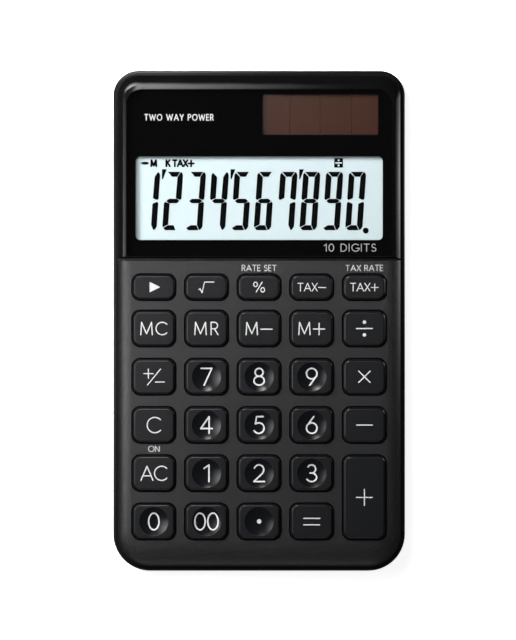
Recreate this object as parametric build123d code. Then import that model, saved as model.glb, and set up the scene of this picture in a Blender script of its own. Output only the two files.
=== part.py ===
from build123d import *
from math import cos, radians, sin
import os

# A slim pocket calculator with a solar panel, a ten-digit liquid-crystal display and 29 keys.
# Millimetres. X runs across the case, +Y towards the display, +Z up through the keys.
# The origin is in the middle of the case, level with the soles of the rubber feet.

# Overall size.
case_width = 70.0
case_length = 120.0

# Heights that stack up from the table to the tops of the keys.
foot_proud = 0.5
rear_wall = 1.2
component_room = 1.7
board_thickness = 0.8
mat_sheet = 0.4
key_travel = 1.0
key_flange = 0.6
key_play = 0.1
deck_wall = 1.3
key_proud = 1.0

# Rear cover: a shallow tray whose rim shows as a narrow ring round the front case.
far_corner_radius = 6.0
near_corner_radius = 8.8
rim_wall = 1.0
rim_height = 4.7
rim_seam = 0.1
rear_edge_radius = 2.0
rim_edge_radius = 0.45
rib_thickness = 0.8
rib_gap = 0.1
rib_end_gap = 0.4
rib_before_window = 2.0
rib_inside_window = 1.0

# Front case.
front_wall = 1.2
skirt_below_board = 0.4
shoulder_height = 1.7
deck_side_run = 3.2
deck_near_run = 6.2
deck_far_round = 0.15
deck_top_corner = 4.2
rail_depth = 1.65
rail_height = 1.5
rail_tongue = 0.55
crown_steps = 6

# Display bezel and the clear lens let into it.
bezel_seam = 0.45
bezel_step = 0.6
bezel_seat = 0.5
bezel_side_run = 2.1
bezel_far_run = 3.5
bezel_near_run = 0.58
bezel_roll_angle = 90.0
bezel_wall_base = 0.4
lens_corner = 3.6
lens_near_corner = 0.5
lens_thickness = 1.0
mask_thickness = 0.1
lens_gap = 0.05
bezel_floor = 0.7
tab_thickness = 0.6
tab_width = 4.0
tab_reach = 2.2
tab_barb = 0.4
tab_barb_height = 0.8
tab_wall_gap = 0.2
tab_near_from_edge = 7.1
tab_far_from_end = 14.0
tab_frame_gap = 0.3
tab_pocket_gap = 0.2

# Display window and the liquid-crystal cell below it.
window_height = 20.0
window_corner = 1.1
glass_thickness = 0.7
front_film = 0.15
rear_film = 0.2
glass_side_overlap = 1.3
glass_far_overlap = 1.05
contact_ledge = 2.1
glass_near_overlap = 3.15
film_inset = 0.4
frame_wall = 0.6
frame_end_wall = 0.9
frame_ledge = 1.5
frame_edge_gap = 0.3
frame_holder_gap = 0.4
glass_clearance = 0.1
strip_inset = 0.3
strip_side_inset = 2.9

# Solar window and cell.
solar_width = 27.8
solar_right_margin = 6.5
solar_far_margin = 5.75
solar_window_web = 5.2
solar_corner = 0.4
solar_overlap = 0.85
solar_cell_thickness = 1.1
pad_side_inset = 5.0
pad_end_inset = 1.5
wire_radius = 0.3
wire_run = 3.4
wire_inset = 2.2
wire_bend = 0.6
wire_beyond = 0.75

# Keys: five columns, one short row above five full rows.
side_margin = 4.39
web_across = 1.74
label_strip = 3.07
first_row_height = 6.68
first_web = 1.99
web_along = 2.41
near_margin = 7.42
opening_corner = 2.2
key_gap = 0.35
flange_reach = 0.5
key_edge_radius = 0.65
key_wall = 0.9
key_roof = 1.5
post_radius = 1.5
dish_margin = 0.68
dish_depth = 0.6

# Rubber mat with one hollow dome for each key, and the carbon pills that close the contacts.
dome_radius = 3.2
dome_wall = 0.35
dome_top_radius = 1.9
dome_cap = 0.6
pill_radius = 1.5
pill_thickness = 0.2
dome_play = 0.02
mat_side_inset = 3.8
mat_far_inset = 2.0

# Screws.
board_boss_radius = 1.4
board_screw_radius = 0.6
board_head_radius = 1.2
board_head_height = 0.8
board_screw_bite = 1.8
board_hole_gap = 0.15
mat_hole_gap = 0.3
case_boss_radius = 1.9
case_screw_radius = 0.8
case_head_radius = 1.7
case_head_height = 0.8
case_head_sunk = 0.8
case_head_gap = 0.1
case_shank_gap = 0.15
case_tower_wall = 0.5
case_tower_gap = 0.2
case_screw_bite = 1.9
screw_blind = 0.2
corner_block_play = 0.1
far_screw_inset = 5.4
near_screw_from_side = 9.0
head_round = 0.32
recess_reach = 0.65
recess_width = 0.4
recess_depth = 0.45

# Circuit board and what is soldered under it.
board_side_gap = 0.3
notch_gap = 0.3
chip_radius = 4.5
chip_height = 1.0
chip_from_window = 1.35
capacitor_size = (3.2, 1.6, 1.2)
capacitor_column = 12.0
capacitor_spacing = 5.0
capacitor_count = 3
resistor_size = (2.0, 1.25, 0.6)
resistor_column = -12.0
resistor_spacing = 4.0
resistor_count = 4

# Button cell, its holder, its two contacts and the coin-slot cap in the rear cover.
cell_radius = 5.8
cell_height = 3.05
cell_edge = 0.25
cell_from_left = 18.5
holder_gap = 0.2
holder_end_gap = 0.3
holder_wall = 0.9
holder_flange = 0.9
holder_flange_height = 0.5
holder_roof = 0.5
holder_lift = 0.15
cell_cutout_gap = 0.2
contact_sheet = 0.15
contact_width = 2.0
contact_disc_radius = 3.0
contact_slot_gap = 0.2
contact_foot = 0.9
cap_flange_height = 0.5
cap_flange_reach = 1.2
cap_neck_wall = 0.7
cap_gap = 0.1
cap_lug_reach = 0.9
cap_lug_height = 0.5
cap_lug_width = 3.8
cap_notch_gap = 0.3
cap_turn = 45.0
coin_slot_width = 1.3
coin_slot_length = 10.0
coin_slot_depth = 0.6

# Feet and the blank rating label.
foot_radius = 3.0
foot_sunk = 0.4
foot_gap = 0.1
foot_from_side = 6.2
foot_from_far = 13.5
foot_from_near = 11.5
label_width = 34.0
label_height = 16.0
label_corner = 1.0
label_gap = 0.05
label_thickness = 0.15
label_recess = 0.2

# Planes worked out from the sizes above.
half_width = case_width / 2
half_length = case_length / 2
rear_face = foot_proud
floor_top = rear_face + rear_wall
board_low = floor_top + component_room
board_top = board_low + board_thickness
mat_top = board_top + mat_sheet
key_low = board_top + key_travel + pill_thickness + dome_cap
flange_top = key_low + key_flange
deck_under = flange_top + key_play
deck_top = deck_under + deck_wall
key_top = deck_top + key_proud
rim_top = rear_face + rim_height
bezel_top = deck_top + bezel_step
bezel_low = deck_under - bezel_seat
lens_low = bezel_top - lens_thickness
pocket_floor = lens_low - mask_thickness
bezel_under = pocket_floor - bezel_floor
front_inset = rim_wall + rim_seam
cavity_inset = front_inset + front_wall
board_inset = cavity_inset + board_side_gap
skirt_low = board_low - skirt_below_board
tower_top = board_low - rib_gap
counterbore_radius = case_head_radius + case_head_gap
tower_radius = counterbore_radius + case_tower_wall
near_screw_from_end = cavity_inset + case_tower_gap + tower_radius

# Button cell and what closes round it.
holder_inner = cell_radius + holder_gap
holder_outer = holder_inner + holder_wall
holder_reach = holder_outer + holder_flange
cell_x = -half_width + cell_from_left
cell_y = half_length - cavity_inset - holder_end_gap - holder_reach
cell_low = floor_top + cap_gap
cell_top = cell_low + cell_height
cap_neck_radius = holder_inner + cap_neck_wall
cap_flange_radius = cap_neck_radius + cap_flange_reach
cap_lug_radius = cap_neck_radius + cap_lug_reach
cap_lug_low = floor_top + cap_gap
cap_lug_top = cap_lug_low + cap_lug_height
holder_low = cap_lug_top + holder_lift

# Display stack, from the cell's holder down to the seam between the bezel and the key deck.
frame_right = half_width - cavity_inset - tab_wall_gap - tab_thickness - tab_frame_gap
frame_far = cell_y - holder_reach - frame_holder_gap
glass_right = frame_right - frame_wall - glass_clearance
glass_far = frame_far - frame_end_wall - glass_clearance
window_right = glass_right - glass_side_overlap
window_far = glass_far - glass_far_overlap
window_near = window_far - window_height
glass_near = window_near - glass_near_overlap
frame_near = glass_near - glass_clearance - frame_end_wall
bezel_near = frame_near - frame_edge_gap
deck_far = bezel_near - bezel_seam
lens_right = half_width - front_inset - bezel_side_run
lens_near = bezel_near + bezel_near_run
lens_far = half_length - front_inset - bezel_far_run
film_top = bezel_under
front_glass_top = film_top - front_film
rear_glass_top = front_glass_top - glass_thickness
rear_glass_low = rear_glass_top - glass_thickness
ledge_top = rear_glass_low - rear_film

# Solar window and the cell behind it.
solar_right = half_width - solar_right_margin
solar_left = solar_right - solar_width
solar_far = half_length - solar_far_margin
solar_near = window_far + solar_window_web
solar_cell_low = bezel_under - solar_cell_thickness

# Key openings, worked out from the margins and the webs between them.
columns = 5
full_rows = 5
opening_width = (case_width - 2 * side_margin - (columns - 1) * web_across) / columns
column_pitch = opening_width + web_across
first_row_far = deck_far - label_strip
second_row_far = first_row_far - first_row_height - first_web
keypad_near = -half_length + near_margin
opening_height = (second_row_far - keypad_near - (full_rows - 1) * web_along) / full_rows
row_pitch = opening_height + web_along

# Key names, row by row from the display down. The plus key fills the last two rows of its column.
key_names = [
    ["backspace", "square_root", "percent", "tax_minus", "tax_plus"],
    ["memory_clear", "memory_recall", "memory_minus", "memory_plus", "divide"],
    ["sign_change", "7", "8", "9", "multiply"],
    ["clear", "4", "5", "6", "minus"],
    ["all_clear", "1", "2", "3", "plus"],
    ["0", "00", "point", "equals"],
]
dished_keys = ["0", "1", "2", "3", "4", "5", "6", "7", "8", "9", "00", "point"]
tall_key = "plus"

upward = (Align.CENTER, Align.CENTER, Align.MIN)
corner_aligned = (Align.MIN, Align.MIN, Align.MIN)


# A block between six planes.
def block(left, right, near, far, low, high):
    return Pos(left, near, low) * Box(right - left, far - near, high - low, align=corner_aligned)


# An upright round bar.
def bar(radius, x, y, low, high):
    return Pos(x, y, low) * Cylinder(radius, high - low, align=upward)


# A flat outline with one radius on its two near corners and another on its two far corners.
def outline(left, right, near, far, near_radius, far_radius):
    face = Pos((left + right) / 2, (near + far) / 2) * Rectangle(right - left, far - near)
    if near_radius > 0:
        face = fillet(face.vertices().sort_by(Axis.Y)[:2], near_radius)
    if far_radius > 0:
        face = fillet(face.vertices().sort_by(Axis.Y)[-2:], far_radius)
    return face


# The case's outline, moved in by an inset.
def case_outline(inset):
    right = half_width - inset
    end = half_length - inset
    return outline(-right, right, -end, end, near_corner_radius - inset, far_corner_radius - inset)


def prism(face, low, high):
    return Pos(0, 0, low) * extrude(face, high - low)


# A slab whose walls roll inwards, each wall following part of a quarter ellipse:
# run = (1 - cos a) / (1 - cos last), rise = sin a / sin last, for a from 0 to the last angle.
def crown(base, top, low, high, last_angle):
    last = radians(last_angle)
    sections = []
    for step in range(crown_steps + 1):
        angle = last * step / crown_steps
        run = (1 - cos(angle)) / (1 - cos(last))
        rise = sin(angle) / sin(last)
        sizes = [start + (end - start) * run for start, end in zip(base, top)]
        sections.append(Pos(0, 0, low + (high - low) * rise) * outline(*sizes))
    return loft(sections)


def column_x(column):
    return (column - (columns - 1) / 2) * column_pitch


# Middle of a full row, counted from 1 below the short first row; halves fall between two rows.
def row_y(row):
    return second_row_far - opening_height / 2 - (row - 1) * row_pitch


# Every key opening: its name, its middle and its size.
def key_places():
    places = []
    for row, names in enumerate(key_names):
        for column, name in enumerate(names):
            y = row_y(row)
            height = opening_height
            if row == 0:
                y = first_row_far - first_row_height / 2
                height = first_row_height
            if name == tall_key:
                y = row_y(row + 0.5)
                height = 2 * opening_height + web_along
            places.append((name, column_x(column), y, opening_width, height))
    return places


# A rounded prism centred on a key.
def key_prism(x, y, width, height, corner, low, high):
    left = x - width / 2
    near = y - height / 2
    return prism(outline(left, left + width, near, near + height, corner, corner), low, high)


# Screws that hold the circuit board under the key deck, at crossings of the webs.
def board_screw_places():
    webs = [(-1.5, 1.5), (-1.5, 3.5), (-0.5, 4.5)]
    return [(side * column * column_pitch, row_y(row)) for column, row in webs for side in (-1, 1)]


def far_screw_places():
    x = half_width - far_screw_inset
    y = half_length - far_screw_inset
    return [(-x, y), (x, y)]


def near_screw_places():
    x = half_width - near_screw_from_side
    y = -half_length + near_screw_from_end
    return [(-x, y), (x, y)]


def foot_places():
    x = half_width - foot_from_side
    far = half_length - foot_from_far
    near = -half_length + foot_from_near
    return [(-x, near), (x, near), (-x, far), (x, far)]


def tab_places():
    near = bezel_near + tab_near_from_edge
    far = half_length - tab_far_from_end
    return [(side, y) for side in (-1, 1) for y in (near, far)]


# Pan-head screw, head down, with a cross recess.
def screw(x, y, head_radius, head_height, shank_radius, shank_top, seat):
    low = seat - head_height
    head = bar(head_radius, x, y, low, seat)
    head = fillet(head.edges().sort_by(Axis.Z)[0], head_round)
    reach = head_radius * recess_reach
    half_slot = recess_width / 2
    cross = block(x - reach, x + reach, y - half_slot, y + half_slot, low, low + recess_depth)
    cross += block(x - half_slot, x + half_slot, y - reach, y + reach, low, low + recess_depth)
    return head + bar(shank_radius, x, y, seat, shank_top) - cross


# Shallow tray with screw towers, ribs under the board, foot pockets and the cell cap's seat.
def make_rear_cover():
    tray = prism(case_outline(0), rear_face, rim_top)
    tray = fillet(tray.faces().sort_by(Axis.Z)[0].edges(), rear_edge_radius)
    tray = fillet(tray.faces().sort_by(Axis.Z)[-1].edges(), rim_edge_radius)
    tray -= prism(case_outline(rim_wall), floor_top, rim_top)
    rib_end = half_width - cavity_inset - rib_end_gap
    rib_rows = [row_y(row) for row in range(1, full_rows + 1)]
    rib_rows += [first_row_far - first_row_height / 2]
    rib_rows += [window_near - rib_before_window, window_far - rib_inside_window]
    half_rib = rib_thickness / 2
    for y in rib_rows:
        tray += block(-rib_end, rib_end, y - half_rib, y + half_rib, floor_top, tower_top)
    head_seat = rear_face + case_head_sunk + case_head_height
    for x, y in far_screw_places() + near_screw_places():
        tray += bar(tower_radius, x, y, floor_top, tower_top)
        tray -= bar(counterbore_radius, x, y, rear_face, head_seat)
        tray -= bar(case_screw_radius + case_shank_gap, x, y, head_seat, tower_top)
    for x, y in foot_places():
        tray -= bar(foot_radius + foot_gap, x, y, rear_face, rear_face + foot_sunk)
    flange_seat = rear_face + cap_flange_height
    tray -= bar(cap_flange_radius + cap_gap, cell_x, cell_y, rear_face, flange_seat)
    tray -= bar(cap_neck_radius + cap_gap, cell_x, cell_y, flange_seat, floor_top)
    notches = cap_lugs(cap_lug_radius + cap_gap, cap_lug_width + 2 * cap_notch_gap, rear_face, floor_top)
    tray -= Pos(cell_x, cell_y, 0) * Rot(0, 0, -cap_turn) * notches
    return tray - label_plate(0, rear_face, rear_face + label_recess)


# The rating label's outline in the middle of the back, moved in by a gap all round.
def label_plate(gap, low, high):
    right = label_width / 2 - gap
    far = label_height / 2 - gap
    return prism(outline(-right, right, -far, far, label_corner - gap, label_corner - gap), low, high)


# Two opposite lugs of a round cap, about the origin.
def cap_lugs(radius, width, low, high):
    half_lug = width / 2
    return bar(radius, 0, 0, low, high) & block(-radius, radius, -half_lug, half_lug, low, high)


# Walls, key deck with its openings, the rail that the bezel seats on, and the screw bosses.
def make_front_case():
    side = half_width - front_inset
    end = half_length - front_inset
    near_corner = near_corner_radius - front_inset
    base = (-side, side, -end, deck_far, near_corner, 0)
    top_side = side - deck_side_run
    top = (-top_side, top_side, -end + deck_near_run, deck_far - deck_far_round, deck_top_corner, 0)
    shoulder_low = deck_top - shoulder_height
    shell = prism(case_outline(front_inset), skirt_low, bezel_low)
    shell += prism(outline(*base), bezel_low, shoulder_low)
    shell += crown(base, top, shoulder_low, deck_top, 90)
    shell -= prism(case_outline(cavity_inset), skirt_low, deck_under)
    inner = half_width - cavity_inset
    rail_low = deck_under - rail_height
    shell += block(-inner, inner, deck_far - rail_depth, deck_far, rail_low, deck_under)
    tongue_top = min(bezel_under, deck_top)
    shell += block(-inner, inner, deck_far - bezel_seam, deck_far + rail_tongue, rail_low, tongue_top)
    corner_blocks = prism(case_outline(front_inset + front_wall / 2), tower_top, corner_block_top())
    block_side = half_width - far_screw_inset - case_boss_radius
    block_near = half_length - far_screw_inset - case_boss_radius
    for direction in (-1, 1):
        ends = sorted([direction * block_side, direction * half_width])
        corner = block(ends[0], ends[1], block_near, half_length, tower_top, corner_block_top())
        shell += corner & corner_blocks
    for x, y in near_screw_places():
        shell += bar(case_boss_radius, x, y, tower_top, deck_under)
    for x, y in board_screw_places():
        shell += bar(board_boss_radius, x, y, board_top, deck_under)
        shell -= bar(board_screw_radius, x, y, board_top, board_top + board_screw_bite + screw_blind)
    for x, y in far_screw_places() + near_screw_places():
        shell -= bar(case_screw_radius, x, y, tower_top, tower_top + case_screw_bite + screw_blind)
    for name, x, y, width, height in key_places():
        shell -= key_prism(x, y, width, height, opening_corner, deck_under, deck_top)
    barb_low = bezel_under - tab_reach
    for direction, y in tab_places():
        face = half_width - cavity_inset
        half_pocket = tab_width / 2 + tab_pocket_gap
        pocket_right = face - tab_wall_gap + tab_barb + tab_pocket_gap
        pocket_low = barb_low - tab_pocket_gap
        pocket_top = barb_low + tab_barb_height + tab_pocket_gap
        pocket = block(face, pocket_right, y - half_pocket, y + half_pocket, pocket_low, pocket_top)
        shell -= pocket if direction > 0 else mirror(pocket, Plane.YZ)
    return shell


# The far screws' corner blocks stop just below the solar cell.
def corner_block_top():
    return solar_cell_low - corner_block_play


# Frame over the display: rolled shoulders, a pocket for the lens, two windows and four snap tabs.
def make_display_bezel():
    side = half_width - front_inset
    far = half_length - front_inset
    base = (-side, side, bezel_near, far, 0, far_corner_radius - front_inset)
    top = (-lens_right, lens_right, lens_near, lens_far, 0, lens_corner)
    roll_low = bezel_low + bezel_wall_base
    frame = prism(outline(*base), bezel_low, roll_low)
    frame += crown(base, top, roll_low, bezel_top, bezel_roll_angle)
    inner = half_width - cavity_inset
    inner_far = half_length - cavity_inset
    hollow = outline(-inner, inner, deck_far, inner_far, 0, far_corner_radius - cavity_inset)
    frame -= prism(hollow, bezel_low, bezel_under)
    frame -= lens_plate(0, pocket_floor, bezel_top)
    frame -= window_prism(pocket_floor, bezel_under)
    frame -= solar_prism(bezel_under, pocket_floor)
    barb_low = bezel_under - tab_reach
    for direction, y in tab_places():
        face = half_width - cavity_inset - tab_wall_gap
        tab = block(face - tab_thickness, face, y - tab_width / 2, y + tab_width / 2, barb_low, bezel_under)
        barb = block(face, face + tab_barb, y - tab_width / 2, y + tab_width / 2, barb_low,
                     barb_low + tab_barb_height)
        tab += barb
        frame += tab if direction > 0 else mirror(tab, Plane.YZ)
    return frame


def window_prism(first, second):
    shape = outline(-window_right, window_right, window_near, window_far, window_corner, window_corner)
    return prism(shape, min(first, second), max(first, second))


def solar_prism(first, second):
    shape = outline(solar_left, solar_right, solar_near, solar_far, solar_corner, solar_corner)
    return prism(shape, min(first, second), max(first, second))


# The lens's outline, moved in by a gap all round.
def lens_plate(gap, low, high):
    right = lens_right - gap
    near_corner = lens_near_corner - gap
    shape = outline(-right, right, lens_near + gap, lens_far - gap, near_corner, lens_corner - gap)
    return prism(shape, low, high)


def make_lens_mask():
    mask = lens_plate(lens_gap, pocket_floor, lens_low)
    mask -= window_prism(pocket_floor, lens_low)
    return mask - solar_prism(pocket_floor, lens_low)


def make_lcd_film(low, high):
    right = glass_right - film_inset
    near = glass_near + contact_ledge + film_inset
    return block(-right, right, near, glass_far - film_inset, low, high)


def make_front_glass():
    return block(-glass_right, glass_right, glass_near, glass_far, rear_glass_top, front_glass_top)


def make_rear_glass():
    near = glass_near + contact_ledge
    return block(-glass_right, glass_right, near, glass_far, rear_glass_low, rear_glass_top)


# Frame that centres the display glass between the board and the bezel, with a ledge on three sides.
def make_lcd_frame():
    frame = block(-frame_right, frame_right, frame_near, frame_far, board_top, bezel_under)
    inner_right = frame_right - frame_wall
    inner_near = frame_near + frame_end_wall
    inner_far = frame_far - frame_end_wall
    frame -= block(-inner_right, inner_right, inner_near, inner_far, ledge_top, bezel_under)
    through_right = inner_right - frame_ledge
    through_far = inner_far - frame_ledge
    return frame - block(-through_right, through_right, inner_near, through_far, board_top, ledge_top)


# Conductive rubber strip between the board's pads and the front glass's ledge.
def make_zebra_strip():
    right = glass_right - strip_side_inset
    near = glass_near + strip_inset
    return block(-right, right, near, glass_near + contact_ledge - strip_inset, board_top, rear_glass_top)


def make_solar_cell():
    return block(solar_left - solar_overlap, solar_right + solar_overlap, solar_near - solar_overlap,
                 solar_far + solar_overlap, solar_cell_low, bezel_under)


# Foam pad that holds the solar cell up against the bezel.
def make_solar_pad():
    return block(solar_left + pad_side_inset, solar_right - pad_side_inset, solar_near + pad_end_inset,
                 solar_far - pad_end_inset, board_top, solar_cell_low)


# Two leads that run under the solar cell, turn down past its edge and end on the board.
def make_solar_wires():
    edge = solar_near - solar_overlap
    height = solar_cell_low - wire_radius
    leads = []
    for x in (solar_left - solar_overlap + wire_inset, solar_right + solar_overlap - wire_inset):
        start = (x, edge + wire_run, height)
        corner = (x, edge - wire_beyond, height)
        end = (x, edge - wire_beyond, board_top)
        path = FilletPolyline(start, corner, end, radius=wire_bend)
        section = Plane(origin=start, z_dir=(0, -1, 0)) * Circle(wire_radius)
        leads.append(sweep(section, path=path))
    return leads


def make_button_cell():
    can = bar(cell_radius, cell_x, cell_y, cell_low, cell_top)
    can = fillet(can.edges().sort_by(Axis.Z)[0], cell_edge)
    return chamfer(can.edges().sort_by(Axis.Z)[-1], cell_edge)


# Ring that stands on the board round the cell, with a roof above its contact.
def make_battery_holder():
    roof_low = cell_top + contact_sheet
    ring = bar(holder_outer, cell_x, cell_y, holder_low, roof_low + holder_roof)
    ring += bar(holder_reach, cell_x, cell_y, board_top, board_top + holder_flange_height)
    ring -= bar(holder_inner, cell_x, cell_y, holder_low, roof_low)
    half_slot = contact_width / 2 + contact_slot_gap
    low_slot = block(0, holder_reach, -half_slot, half_slot, holder_low, roof_low)
    high_slot = block(-holder_reach, 0, -half_slot, half_slot, board_top, roof_low)
    return ring - Pos(cell_x, cell_y, 0) * (low_slot + high_slot)


# Spring disc over the cell, with a strip that leaves the holder and drops to the board.
def make_negative_contact():
    half_strip = contact_width / 2
    strip_end = -(holder_outer + 2 * contact_foot)
    drop_end = strip_end + contact_sheet
    leaf = bar(contact_disc_radius, 0, 0, cell_top, cell_top + contact_sheet)
    leaf += block(strip_end, 0, -half_strip, half_strip, cell_top, cell_top + contact_sheet)
    leaf += block(strip_end, drop_end, -half_strip, half_strip, board_top, cell_top)
    foot_end = strip_end - contact_foot
    leaf += block(foot_end, drop_end, -half_strip, half_strip, board_top, board_top + contact_sheet)
    return Pos(cell_x, cell_y, 0) * leaf


# Upright leaf against the cell's side, with a foot on the board.
def make_positive_contact():
    half_strip = contact_width / 2
    leaf = block(cell_radius, cell_radius + contact_sheet, -half_strip, half_strip, holder_low,
                 board_top + contact_sheet)
    foot_end = holder_outer + cell_cutout_gap + contact_foot
    leaf += block(cell_radius, foot_end, -half_strip, half_strip, board_top, board_top + contact_sheet)
    return Pos(cell_x, cell_y, 0) * leaf


# Round cap with a coin slot, a neck round the cell and two lugs over the rear wall.
def make_battery_cap():
    flange_seat = rear_face + cap_flange_height
    cap = bar(cap_flange_radius, 0, 0, rear_face, flange_seat)
    cap += bar(cap_neck_radius, 0, 0, flange_seat, cap_lug_top)
    cap += cap_lugs(cap_lug_radius, cap_lug_width, cap_lug_low, cap_lug_top)
    cap -= bar(holder_inner, 0, 0, floor_top, cap_lug_top)
    half_slot = coin_slot_width / 2
    half_span = coin_slot_length / 2
    cap -= block(-half_span, half_span, -half_slot, half_slot, rear_face, rear_face + coin_slot_depth)
    return Pos(cell_x, cell_y, 0) * cap


# Board cut clear of the cell's holder and the case's screw bosses.
def make_circuit_board():
    board = prism(case_outline(board_inset), board_low, board_top)
    board -= bar(holder_outer + cell_cutout_gap, cell_x, cell_y, board_low, board_top)
    corner_side = half_width - far_screw_inset - case_boss_radius - notch_gap
    corner_near = half_length - far_screw_inset - case_boss_radius - notch_gap
    boss_notch = case_boss_radius + notch_gap
    for direction in (-1, 1):
        ends = sorted([direction * corner_side, direction * half_width])
        board -= block(ends[0], ends[1], corner_near, half_length, board_low, board_top)
    for x, y in near_screw_places():
        board -= bar(boss_notch, x, y, board_low, board_top)
        board -= block(x - boss_notch, x + boss_notch, -half_length, y, board_low, board_top)
    for x, y in board_screw_places():
        board -= bar(board_screw_radius + board_hole_gap, x, y, board_low, board_top)
    return board


# Epoxy dome over the bare chip, on the board's underside behind the display.
def make_chip_blob():
    y = (window_near + window_far) / 2 - chip_from_window
    sphere_radius = (chip_radius ** 2 + chip_height ** 2) / (2 * chip_height)
    ball = Pos(0, y, board_low - chip_height + sphere_radius) * Sphere(sphere_radius)
    return ball & bar(sphere_radius, 0, y, board_low - chip_height, board_low)


# Small parts soldered under the board, in a column beside the chip.
def make_chips(size, x, spacing, count):
    length, width, height = size
    first_y = (window_near + window_far) / 2 - (count - 1) / 2 * spacing
    piece = block(-length / 2, length / 2, -width / 2, width / 2, board_low - height, board_low)
    return [Pos(x, first_y + index * spacing, 0) * piece for index in range(count)]


# One hollow rubber dome: a cone under a solid cap, open below.
def make_dome():
    cone_height = key_low - dome_cap - mat_top
    solid = Pos(0, 0, mat_top) * Cone(dome_radius, dome_top_radius, cone_height, align=upward)
    solid += bar(dome_radius, 0, 0, board_top, mat_top)
    solid += bar(dome_top_radius, 0, 0, mat_top + cone_height, key_low - dome_play)
    inside = Pos(0, 0, mat_top) * Cone(dome_radius - dome_wall, dome_top_radius - dome_wall, cone_height,
                                       align=upward)
    inside += bar(dome_radius - dome_wall, 0, 0, board_top, mat_top)
    return solid - inside


# Rubber sheet under the keys, with a dome for each key and holes for the deck's bosses.
def make_key_mat():
    side = half_width - mat_side_inset
    sheet = block(-side, side, keypad_near, deck_far - mat_far_inset, board_top, mat_top)
    places = [(x, y) for name, x, y, width, height in key_places()]
    sheet -= [bar(dome_radius - dome_wall, x, y, board_top, mat_top) for x, y in places]
    hole_radius = board_boss_radius + mat_hole_gap
    sheet -= [bar(hole_radius, x, y, board_top, mat_top) for x, y in board_screw_places()]
    dome = make_dome()
    return sheet + [Pos(x, y, 0) * dome for x, y in places]


def make_contact_pills():
    high = key_low - dome_cap
    places = [(x, y) for name, x, y, width, height in key_places()]
    return [bar(pill_radius, x, y, high - pill_thickness, high) for x, y in places]


# Hollow key cap: a flange under the deck, a rounded top edge and a middle post. Digits have a dish.
def make_key(name, x, y, width, height):
    cap_width = width - 2 * key_gap
    cap_height = height - 2 * key_gap
    cap_corner = opening_corner - key_gap
    cap = key_prism(x, y, cap_width, cap_height, cap_corner, key_low, key_top)
    cap = fillet(cap.faces().sort_by(Axis.Z)[-1].edges(), key_edge_radius)
    flange_width = width + 2 * flange_reach
    flange_height = height + 2 * flange_reach
    flange_corner = opening_corner + flange_reach
    cap += key_prism(x, y, flange_width, flange_height, flange_corner, key_low, flange_top)
    roof_low = key_top - key_roof
    inner_width = cap_width - 2 * key_wall
    inner_height = cap_height - 2 * key_wall
    cap -= key_prism(x, y, inner_width, inner_height, cap_corner - key_wall, key_low, roof_low)
    cap += bar(post_radius, x, y, key_low, roof_low)
    if name in dished_keys:
        dish_radius = min(cap_width, cap_height) / 2 - dish_margin
        ball_radius = (dish_radius ** 2 + dish_depth ** 2) / (2 * dish_depth)
        cap -= Pos(x, y, key_top - dish_depth + ball_radius) * Sphere(ball_radius)
    return cap


def make_board_screws():
    top = board_top + board_screw_bite
    sizes = (board_head_radius, board_head_height, board_screw_radius, top, board_low)
    return [screw(x, y, *sizes) for x, y in board_screw_places()]


def make_case_screws():
    seat = rear_face + case_head_sunk + case_head_height
    top = tower_top + case_screw_bite
    sizes = (case_head_radius, case_head_height, case_screw_radius, top, seat)
    return [screw(x, y, *sizes) for x, y in far_screw_places() + near_screw_places()]


def make_rubber_feet():
    feet = []
    for x, y in foot_places():
        foot = bar(foot_radius, x, y, 0, rear_face + foot_sunk)
        feet.append(fillet(foot.edges().sort_by(Axis.Z)[0], foot_proud / 2))
    return feet


def make_rear_label():
    top = rear_face + label_recess
    return label_plate(label_gap, top - label_thickness, top)


# Writes one part; identical loose pieces go into one file as a group of solids.
def save(name, *pieces):
    solids = [solid for piece in pieces for solid in piece.solids()]
    shape = solids[0] if len(solids) == 1 else Compound(children=solids)
    export_step(shape, f"parts/{name}.step")


os.makedirs("parts", exist_ok=True)
save("rear_cover", make_rear_cover())
save("front_case", make_front_case())
save("display_bezel", make_display_bezel())
save("display_lens", lens_plate(lens_gap, lens_low, bezel_top))
save("lens_mask", make_lens_mask())
save("lcd_front_polariser", make_lcd_film(front_glass_top, film_top))
save("lcd_front_glass", make_front_glass())
save("lcd_rear_glass", make_rear_glass())
save("lcd_rear_polariser", make_lcd_film(ledge_top, rear_glass_low))
save("lcd_frame", make_lcd_frame())
save("zebra_strip", make_zebra_strip())
save("solar_cell", make_solar_cell())
save("solar_pad", make_solar_pad())
save("solar_wires", *make_solar_wires())
save("button_cell", make_button_cell())
save("battery_holder", make_battery_holder())
save("cell_contact_negative", make_negative_contact())
save("cell_contact_positive", make_positive_contact())
save("battery_cap", make_battery_cap())
save("circuit_board", make_circuit_board())
save("chip_blob", make_chip_blob())
save("capacitors", *make_chips(capacitor_size, capacitor_column, capacitor_spacing, capacitor_count))
save("chip_resistors", *make_chips(resistor_size, resistor_column, resistor_spacing, resistor_count))
save("key_mat", make_key_mat())
save("contact_pills", *make_contact_pills())
save("board_screws", *make_board_screws())
save("case_screws", *make_case_screws())
save("rubber_feet", *make_rubber_feet())
save("rear_label", make_rear_label())
for name, x, y, width, height in key_places():
    save(f"key_{name}", make_key(name, x, y, width, height))
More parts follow.
